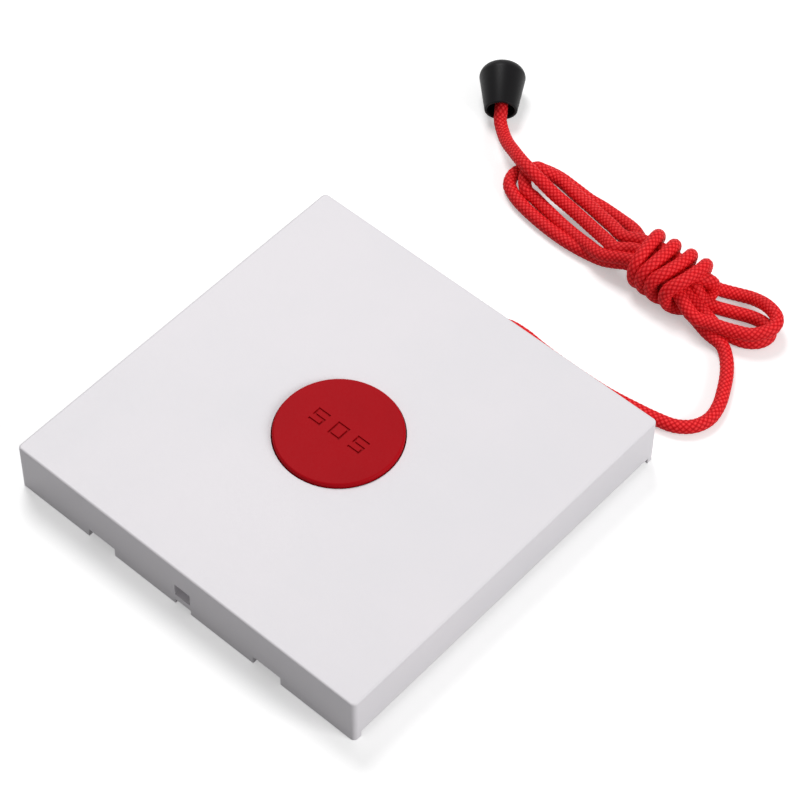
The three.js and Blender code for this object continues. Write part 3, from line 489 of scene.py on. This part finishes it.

# %% [markdown]
# The two coil springs grow shorter on the real part as the button is pressed and the cord is
# pulled. Here each only loses its weighted normals and gets a mesh of its own.

# %% Springs with meshes of their own
for node in ("button_spring", "slider_spring"):
    skins[node].modifiers.clear()
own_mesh(skins["button_spring"])
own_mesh(skins["slider_spring"])

# %% [markdown]
# ## Small parts on the board
# A circuit board also carries resistors and capacitors: little blocks a millimetre or two
# long with tinned ends. Each kind is one piece made of bevelled blocks, because a real
# board has dozens and one piece per kind keeps the scene easy to read. They stand on the
# board's upper face, clear of the other parts.

# %% Blocks that stand on the board
BOARD_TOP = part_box("circuit_board")[1][2] / MM


def small_blocks(name, blocks, edge):
    shape = bmesh.new()
    for x, y, low, size_x, size_y, size_z in blocks:
        made = bmesh.ops.create_cube(shape, size=1)["verts"]
        bmesh.ops.scale(shape, vec=Vector((size_x, size_y, size_z)) * MM, verts=made)
        bmesh.ops.translate(
            shape, vec=Vector((x, y, low + size_z / 2)) * MM, verts=made
        )
    bmesh.ops.bevel(
        shape, geom=shape.edges[:], offset=edge * MM, offset_type="OFFSET", segments=2,
        profile=0.5, affect="EDGES", clamp_overlap=True, material=-1,
    )
    piece = link_piece(shape, name)
    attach(piece, "rear")
    print(name, len(blocks), "blocks")
    return piece


RESISTORS = [
    (19.4, 4.8), (19.4, 3.2), (19.4, 1.6), (15.6, 4.8), (15.6, 3.2), (19.4, -9.4),
    (19.4, -11), (15.6, -11), (-14.6, -9.2), (-14.6, -10.8), (-11.4, 7.2), (16.6, -17.4),
]
CAPACITORS = [(19.4, -1.2), (15.6, -1.2), (19.4, -3.4), (-15, 6.4), (-15, 3.8), (5.4, -14.6)]
RESISTOR_SIZE, CAPACITOR_SIZE = (1.0, 0.8, 0.42), (1.1, 1.2, 0.75)
TIN_LENGTH, TIN_WIDER, TIN_HIGHER = 0.3, 0.04, 0.02
resistors = small_blocks(
    "resistors", [(x, y, BOARD_TOP, *RESISTOR_SIZE) for x, y in RESISTORS], 0.05
)
capacitors = small_blocks(
    "capacitors", [(x, y, BOARD_TOP, *CAPACITOR_SIZE) for x, y in CAPACITORS], 0.08
)
tinned_ends = small_blocks(
    "tinned_ends",
    [
        (
            x + side * (size[0] + TIN_LENGTH) / 2, y, BOARD_TOP,
            TIN_LENGTH, size[1] + TIN_WIDER, size[2] + TIN_HIGHER,
        )
        for spots, size in ((RESISTORS, RESISTOR_SIZE), (CAPACITORS, CAPACITOR_SIZE))
        for x, y in spots
        for side in (-1, 1)
    ],
    0.06,
)

# %% [markdown]
# The chip's legs and the radio's soldered pins stand in two rows, one along each long side
# of their part. Each could be placed by hand, but rows worked out from the part's own box
# follow the part when it is moved, and one function does for both.

# %% Legs of the chip and pins of the radio
def pin_rows(name, node, first, pitch, count, size, edge):
    low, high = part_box(node)
    beside = (low[0] / MM - size[0] / 2, high[0] / MM + size[0] / 2)
    rows = [
        (x, low[1] / MM + first + pitch * i, BOARD_TOP, *size)
        for x in beside
        for i in range(count)
    ]
    return small_blocks(name, rows, edge)


chip_legs = pin_rows(
    "chip_legs", "control_chip", first=0.55, pitch=0.65, count=7,
    size=(0.8, 0.28, 0.18), edge=0.05,
)
radio_pins = pin_rows(
    "radio_pins", "radio_board", first=1.2, pitch=1.45, count=9,
    size=(0.5, 0.7, 0.5), edge=0.06,
)

# %% [markdown]
# ## Finishes
# Every finish is built from nodes and reads Object coordinates, so that its grain has the
# same real size on each piece. Colours are written as the eye reads them on a screen, from
# 0 to 255, and turned into the light values that the shader wants by the screen's own curve.

# %% Helpers for the finishes
def paint(red, green, blue):
    parts = [c / 255 for c in (red, green, blue)]
    return (*[c / 12.92 if c < 0.04 else ((c + 0.055) / 1.055) ** 2.4 for c in parts], 1)


def new_finish(name, roughness, **sockets):
    finish = bpy.data.materials.new(name)
    finish.use_nodes = True
    shader = finish.node_tree.nodes["Principled BSDF"]
    shader.inputs["Roughness"].default_value = roughness
    for socket, value in sockets.items():
        shader.inputs[socket.replace("_", " ")].default_value = value
    return finish, finish.node_tree.nodes, finish.node_tree.links, shader


def add_node(nodes, kind, **settings):
    node = nodes.new("ShaderNode" + kind)
    for name, value in settings.items():
        if name.startswith("in_"):
            node.inputs[name[3:].replace("_", " ")].default_value = value
        else:
            setattr(node, name, value)
    return node


def colour_between(nodes, links, factor, low, high):
    ramp = add_node(nodes, "ValToRGB")
    ramp.color_ramp.elements[0].color = low
    ramp.color_ramp.elements[1].color = high
    links.new(factor, ramp.inputs["Fac"])
    return ramp


def dress(finish, *pieces):
    for piece in pieces:
        piece.data.materials.clear()
        piece.data.materials.append(finish)


print("white plate colour in light values:", [round(c, 3) for c in paint(229, 226, 229)])

# %% [markdown]
# ### Moulded plastic
# The cover, the plate, the button and the bell are injection moulded. The mould's surface
# was blasted to a fine grain, which gives a satin skin: light spreads a little, and seen
# close there are tiny pits. Colour and gloss also wander slightly over a few centimetres.
# A plain colour would look like computer plastic. A noise with cells of a fraction of a
# millimetre makes the grain, and a wide one the drift.

# %% Mould a plastic finish
DRIFT_SCALE = 38.0  # patches of about 26 mm
COLOUR_DRIFT = (0.35, 0.65)  # between these levels of the noise the colour changes
GRAIN_LEVELS = (0.3, 0.7)  # most of the grain's noise lies between these
GLOSS_DRIFT = 0.05


def moulded(name, light, dark, roughness, grain, depth, gloss=0.5):
    finish, nodes, links, shader = new_finish(name, roughness, Specular_IOR_Level=gloss)
    place = add_node(nodes, "TexCoord").outputs["Object"]
    drift = add_node(
        nodes, "TexNoise", in_Scale=DRIFT_SCALE, in_Detail=3.0, in_Roughness=0.55
    )
    grains = add_node(nodes, "TexNoise", in_Scale=1 / grain, in_Detail=2.0)
    for texture in (drift, grains):
        links.new(place, texture.inputs["Vector"])
    colours = colour_between(nodes, links, drift.outputs["Fac"], dark, light)
    for end, level in zip(colours.color_ramp.elements, COLOUR_DRIFT):
        end.position = level
    links.new(colours.outputs["Color"], shader.inputs["Base Color"])
    gloss_drift = add_node(
        nodes, "MapRange", in_From_Min=GRAIN_LEVELS[0], in_From_Max=GRAIN_LEVELS[1],
        in_To_Min=roughness - GLOSS_DRIFT, in_To_Max=roughness + GLOSS_DRIFT,
    )
    links.new(grains.outputs["Fac"], gloss_drift.inputs["Value"])
    links.new(gloss_drift.outputs["Result"], shader.inputs["Roughness"])
    pits = add_node(nodes, "Bump", in_Strength=0.6, in_Distance=depth)
    links.new(grains.outputs["Fac"], pits.inputs["Height"])
    links.new(pits.outputs["Normal"], shader.inputs["Normal"])
    return finish


cover_plastic = moulded(
    "cover_plastic", paint(231, 227, 231), paint(228, 225, 229), 0.48, 0.22 * MM, 0.012 * MM
)
plate_plastic = moulded(
    "plate_plastic", paint(224, 221, 224), paint(220, 218, 221), 0.5, 0.25 * MM, 0.015 * MM
)
button_plastic = moulded(
    "button_plastic", paint(178, 12, 24), paint(170, 10, 22), 0.5, 0.2 * MM, 0.014 * MM, 0.05
)
bell_plastic = moulded(
    "bell_plastic", paint(17, 15, 18), paint(11, 10, 12), 0.42, 0.3 * MM, 0.012 * MM, 0.12
)
slide_plastic = moulded(
    "slide_plastic", paint(214, 214, 218), paint(204, 205, 210), 0.4, 0.3 * MM, 0.01 * MM
)
switch_plastic = moulded(
    "switch_plastic", paint(44, 44, 47), paint(34, 34, 37), 0.52, 0.15 * MM, 0.02 * MM
)
dress(cover_plastic, skins["front_cover"])
dress(plate_plastic, skins["base_plate"], skins["cord_bush"])
dress(button_plastic, skins["button_cap"])
dress(bell_plastic, bell)
dress(slide_plastic, skins["pull_slider"], skins["pull_switch_plunger"])
dress(
    switch_plastic, skins["call_switch_body"], skins["call_switch_plunger"],
    skins["pull_switch_body"], skins["cell_holder"], skins["control_chip"], resistors,
)
print("finishes so far:", [finish.name for finish in bpy.data.materials])

# %% [markdown]
# ### Braid
# The cord's finish follows its own UV map, which counts crossings of the yarns. A woven
# picture could be wrapped round it, but nodes stay sharp however near the camera comes. The
# sums that gave the tufts their height are done again here, to tell which yarn lies on top
# and how high it stands, and to draw the fine threads that run along each yarn.

# %% Sums for the yarns
THREADS_PER_YARN = 4


def sums_for(nodes, links):
    def sum_of(operation, *values):
        node = add_node(nodes, "Math", operation=operation)
        for i, value in enumerate(values):
            if isinstance(value, (int, float)):
                node.inputs[i].default_value = value
            else:
                links.new(value, node.inputs[i])
        return node.outputs[0]

    return sum_of


def yarn_pattern(nodes, links, along, round_it):
    do = sums_for(nodes, links)
    left, right = do("ADD", round_it, along), do("SUBTRACT", round_it, along)
    left_part, right_part = do("FRACT", left), do("FRACT", right)
    together = do("ADD", do("FLOOR", left), do("FLOOR", right))
    left_on_top = do("LESS_THAN", do("PINGPONG", together, 1), 0.5)
    swap = do("SUBTRACT", right_part, left_part)
    across = do("SUBTRACT", right_part, do("MULTIPLY", left_on_top, swap))
    lengthwise = do("ADD", left_part, do("MULTIPLY", left_on_top, swap))
    arch_across = do("POWER", do("SINE", do("MULTIPLY", across, pi)), ARCH_POWER)
    arch_along = do("SINE", do("MULTIPLY", lengthwise, pi))
    arch_along = do("MULTIPLY_ADD", arch_along, 1 - END_HEIGHT, END_HEIGHT)
    height = do("MULTIPLY", arch_across, arch_along)
    threads = do("SINE", do("MULTIPLY", across, 2 * pi * THREADS_PER_YARN))
    return height, threads


# %% [markdown]
# The colour follows the height of the tufts. It is painted shade, darker than the yarn, in the
# crevices, and a painted highlight, brighter than the yarn, on the crowns, because on a real
# braid they catch less and more light. A little sheen gives the soft edge that spun yarn has.
# The knot and the short stretch inside the plate are solids without the map, so they count
# crossings on Object coordinates.
# They could be tubes as well, but they show only when the cover is lifted, and one function
# makes both finishes.

# %% Braided cord finish
THREAD_TONE, THREAD_RELIEF = 0.05, 0.12
FUZZ_SIZE, FUZZ_RELIEF = 0.16 * MM, 0.4
YARN_LEVEL = 0.55  # the height at which the yarn has its own colour


def braid(name, crevice_shade, body, crown_highlight, from_uv):
    finish, nodes, links, shader = new_finish(
        name, 0.6, Sheen_Weight=0.04, Sheen_Roughness=0.4, Specular_IOR_Level=0.16
    )
    shader.inputs["Sheen Tint"].default_value = (1, 0.75, 0.75, 1)
    do = sums_for(nodes, links)
    split = add_node(nodes, "SeparateXYZ")
    if from_uv:
        links.new(add_node(nodes, "UVMap", uv_map="braid").outputs["UV"], split.inputs[0])
        along, round_it = split.outputs[0], split.outputs[1]
    else:
        links.new(add_node(nodes, "TexCoord").outputs["Object"], split.inputs[0])
        along = do("MULTIPLY", split.outputs[1], 1 / CROSSING)
        round_it = do("MULTIPLY", split.outputs[0], 1 / CROSSING)
    height, threads = yarn_pattern(nodes, links, along, round_it)
    fuzz = add_node(nodes, "TexNoise", in_Scale=1 / FUZZ_SIZE, in_Detail=3.0)
    links.new(add_node(nodes, "TexCoord").outputs["Object"], fuzz.inputs["Vector"])
    tone = do("ADD", do("MULTIPLY_ADD", threads, THREAD_TONE, height), fuzz.outputs["Fac"])
    tone = do("SUBTRACT", tone, 0.5)
    # low end: painted shade in the crevices; high end: a painted highlight on the crowns
    colours = colour_between(nodes, links, tone, crevice_shade, crown_highlight)
    colours.color_ramp.elements.new(YARN_LEVEL).color = body
    links.new(colours.outputs["Color"], shader.inputs["Base Color"])
    relief = do("ADD", height, do("MULTIPLY", fuzz.outputs["Fac"], FUZZ_RELIEF))
    relief = do("MULTIPLY_ADD", threads, THREAD_RELIEF, relief)
    threads_bump = add_node(nodes, "Bump", in_Strength=0.7, in_Distance=0.05 * MM)
    links.new(relief, threads_bump.inputs["Height"])
    links.new(threads_bump.outputs["Normal"], shader.inputs["Normal"])
    return finish


# painted shade for the crevices, the yarn's own red, and a painted highlight for the crowns
CREVICE_SHADE, YARN, CROWN_HIGHLIGHT = paint(172, 0, 8), paint(229, 14, 26), paint(255, 66, 68)
cord_braid = braid("cord_braid", CREVICE_SHADE, YARN, CROWN_HIGHLIGHT, True)
hidden_braid = braid("hidden_braid", CREVICE_SHADE, YARN, CROWN_HIGHLIGHT, False)
dress(cord_braid, cord)
dress(hidden_braid, skins["cord_knot"], skins["cord_inner"])
print("braid nodes:", len(cord_braid.node_tree.nodes))

# %% [markdown]
# ### Circuit board
# Green lacquer covers the copper tracks, which show through as paler lines, with small
# dots where a track goes to the other side. Tracks could be modelled one by one, but they
# are thinner than the lacquer. Bricks drawn with a thin joint make lines that turn at right
# angles as tracks do, and the cells of a Voronoi texture give the dots.

# %% Lacquered board
DOT_SPACING, DOT_RADIUS = 3.4 * MM, 0.11  # the radius is a share of the spacing


def lacquered_board(name):
    finish, nodes, links, shader = new_finish(name, 0.3, Coat_Weight=0.4, Coat_Roughness=0.15)
    do = sums_for(nodes, links)
    place = add_node(nodes, "TexCoord").outputs["Object"]
    tracks = add_node(
        nodes, "TexBrick", in_Scale=1.0, in_Brick_Width=6.3 * MM, in_Row_Height=2.1 * MM,
        in_Mortar_Size=0.16 * MM, in_Mortar_Smooth=0.1,
    )
    dots = add_node(nodes, "TexVoronoi", in_Scale=1 / DOT_SPACING)
    links.new(place, tracks.inputs["Vector"])
    links.new(place, dots.inputs["Vector"])
    weave = add_node(nodes, "TexNoise", in_Scale=1 / (0.5 * MM), in_Detail=2.0)
    links.new(place, weave.inputs["Vector"])
    rings_of_tin = do("LESS_THAN", dots.outputs["Distance"], DOT_RADIUS)
    raised = do("MAXIMUM", tracks.outputs["Fac"], rings_of_tin)
    shade = do("MULTIPLY_ADD", weave.outputs["Fac"], 0.2, do("MULTIPLY", raised, 0.8))
    colours = colour_between(nodes, links, shade, paint(24, 92, 58), paint(70, 150, 98))
    links.new(colours.outputs["Color"], shader.inputs["Base Color"])
    relief = add_node(nodes, "Bump", in_Strength=0.5, in_Distance=0.03 * MM)
    links.new(raised, relief.inputs["Height"])
    links.new(relief.outputs["Normal"], shader.inputs["Normal"])
    return finish


board_lacquer = lacquered_board("board_lacquer")
dress(board_lacquer, skins["circuit_board"], skins["radio_board"])
print("board nodes:", len(board_lacquer.node_tree.nodes))

# %% [markdown]
# ### Metal, ceramic and the clear lamp
# Spring wire and clips are drawn or rolled, so their scratches run one way; the coin cell
# and the shield are nickel plated with a finer cross grain. The shader's own anisotropy
# would only stretch the highlights, so a stretched noise draws the scratches themselves.
# The capacitors are fired brown ceramic and the lamp is clear cast resin.

# %% Metal finish
SMOOTHER, ROUGHER = 0.08, 0.12  # how far the scratches change the roughness


def scratched_metal(name, light, dark, roughness, stretch):
    finish, nodes, links, shader = new_finish(name, roughness, Metallic=1.0)
    turn = add_node(nodes, "Mapping", in_Scale=stretch)
    scratches = add_node(nodes, "TexNoise", in_Scale=1.0, in_Detail=4.0, in_Roughness=0.6)
    links.new(add_node(nodes, "TexCoord").outputs["Object"], turn.inputs["Vector"])
    links.new(turn.outputs["Vector"], scratches.inputs["Vector"])
    colours = colour_between(nodes, links, scratches.outputs["Fac"], dark, light)
    links.new(colours.outputs["Color"], shader.inputs["Base Color"])
    spread = add_node(
        nodes, "MapRange", in_To_Min=roughness - SMOOTHER, in_To_Max=roughness + ROUGHER
    )
    links.new(scratches.outputs["Fac"], spread.inputs["Value"])
    links.new(spread.outputs["Result"], shader.inputs["Roughness"])
    marks = add_node(nodes, "Bump", in_Strength=0.4, in_Distance=0.01 * MM)
    links.new(scratches.outputs["Fac"], marks.inputs["Height"])
    links.new(marks.outputs["Normal"], shader.inputs["Normal"])
    return finish


spring_steel = scratched_metal(
    "spring_steel", paint(206, 208, 212), paint(150, 152, 158), 0.3, (900, 6000, 6000)
)
plated_nickel = scratched_metal(
    "plated_nickel", paint(220, 221, 223), paint(198, 200, 204), 0.26, (5000, 700, 5000)
)
tinned_copper = scratched_metal(
    "tinned_copper", paint(216, 216, 214), paint(160, 160, 160), 0.34, (4000, 4000, 4000)
)
print("metals:", spring_steel.name, plated_nickel.name, tinned_copper.name)

# %% Dress the metal, ceramic and resin pieces
LAMP_CLEARNESS = 0.6
dress(
    spring_steel, skins["button_spring"], skins["slider_spring"], skins["antenna_spring"],
    skins["cell_clip"], skins["cell_contact"],
    *[skins[f"board_screw_{i}"] for i in range(1, 5)],
)
dress(plated_nickel, skins["coin_cell"], skins["radio_shield"], skins["crystal_can"])
dress(tinned_copper, tinned_ends, chip_legs, radio_pins)
ceramic = moulded(
    "ceramic", paint(176, 142, 104), paint(150, 116, 80), 0.45, 0.1 * MM, 0.01 * MM
)
dress(ceramic, capacitors)
lamp_resin = moulded(
    "lamp_resin", paint(246, 242, 222), paint(236, 230, 200), 0.2, 0.5 * MM, 0.004 * MM
)
lamp_shader = lamp_resin.node_tree.nodes["Principled BSDF"]
lamp_shader.inputs["Transmission Weight"].default_value = LAMP_CLEARNESS
dress(lamp_resin, skins["status_led"])

# %% [markdown]
# ## Floor, background and light
# The photograph has a plain white background and next to no shadow. A floor of plain white
# paint would come out grey. This one shows the camera a surface that is partly lit from
# within: it is white in open light and still darkens softly under the cord. Everything
# else sees a pale grey floor, which throws up less light, so the plate's sides stay darker
# than its face.

# %% Floor
def seen_directly(nodes, links):
    rays = add_node(nodes, "LightPath")
    do = sums_for(nodes, links)
    either = do("MAXIMUM", rays.outputs["Is Camera Ray"], rays.outputs["Is Glossy Ray"])
    return do("MAXIMUM", either, rays.outputs["Is Transmission Ray"])


FLOOR_GLOW, FLOOR_WHITE = 0.36, 0.9
PALE_LOW, PALE_HIGH = (0.34, 0.34, 0.345, 1), (0.38, 0.38, 0.385, 1)
FLOOR_REACH = 4  # metres from the middle to each side
FLOOR_GAP = 0.05 * MM  # keeps the plate's back and the floor from sharing one plane

floor_finish = bpy.data.materials.new("floor_finish")
floor_finish.use_nodes = True
nodes, links = floor_finish.node_tree.nodes, floor_finish.node_tree.links
nodes.clear()
pale = add_node(nodes, "BsdfDiffuse")
paper = add_node(nodes, "TexNoise", in_Scale=14.0, in_Detail=2.0)
links.new(add_node(nodes, "TexCoord").outputs["Object"], paper.inputs["Vector"])
pale_colours = colour_between(nodes, links, paper.outputs["Fac"], PALE_LOW, PALE_HIGH)
links.new(pale_colours.outputs["Color"], pale.inputs["Color"])
white = add_node(nodes, "BsdfDiffuse")
white.inputs["Color"].default_value = (FLOOR_WHITE, FLOOR_WHITE, FLOOR_WHITE, 1)
glow = add_node(nodes, "Emission", in_Strength=FLOOR_GLOW)
both = add_node(nodes, "AddShader")
links.new(white.outputs[0], both.inputs[0])
links.new(glow.outputs[0], both.inputs[1])
choose = add_node(nodes, "MixShader")
links.new(seen_directly(nodes, links), choose.inputs["Fac"])
links.new(pale.outputs[0], choose.inputs[1])
links.new(both.outputs[0], choose.inputs[2])
links.new(choose.outputs[0], add_node(nodes, "OutputMaterial").inputs["Surface"])

floor_shape = bmesh.new()
bmesh.ops.create_grid(floor_shape, x_segments=1, y_segments=1, size=FLOOR_REACH)
bmesh.ops.translate(floor_shape, vec=(0, 0, -FLOOR_GAP), verts=floor_shape.verts)
floor = link_piece(floor_shape, "floor")
floor.data.materials.append(floor_finish)
print("floor side:", round(floor.dimensions.x, 2), "m")

# %% [markdown]
# The sky is white where the camera sees it and weaker for everything else, told apart by
# the same test of the ray as on the floor. A large soft lamp high on the cord's side lights
# the face, and a lower one lights the side at -X, which is paler in the photograph than the
# latch side. A sun would be simpler, but it throws a hard shadow.

# %% Sky and lamps
SKY_STRENGTH = 0.3
world = bpy.data.worlds.new("plain_sky")
bpy.context.scene.world = world
world.use_nodes = True
nodes, links = world.node_tree.nodes, world.node_tree.links
sky = nodes["Background"]
level = add_node(nodes, "MapRange", in_To_Min=SKY_STRENGTH, in_To_Max=1.0)
links.new(seen_directly(nodes, links), level.inputs["Value"])
links.new(level.outputs["Result"], sky.inputs["Strength"])
sky.inputs["Color"].default_value = (1, 1, 1, 1)


def soft_lamp(name, place, aim, size, power):
    lamp_data = bpy.data.lights.new(name, "AREA")
    lamp_data.shape = "DISK"
    lamp_data.size = size
    lamp_data.energy = power
    lamp = bpy.data.objects.new(name, lamp_data)
    towards = Vector(aim) - Vector(place)
    lamp.matrix_world = Matrix.Translation(place) @ towards.to_track_quat(
        "-Z", "Y"
    ).to_matrix().to_4x4()
    bpy.context.scene.collection.objects.link(lamp)
    print(name, "at", place, "power", power)


MIDDLE = (0, -0.03, 0)
soft_lamp("key_lamp", (0.42, -0.28, 0.75), MIDDLE, 0.4, 4.0)
soft_lamp("side_lamp", (-0.65, -0.12, 0.34), MIDDLE, 0.35, 2.7)
bpy.context.scene.view_settings.view_transform = "Standard"
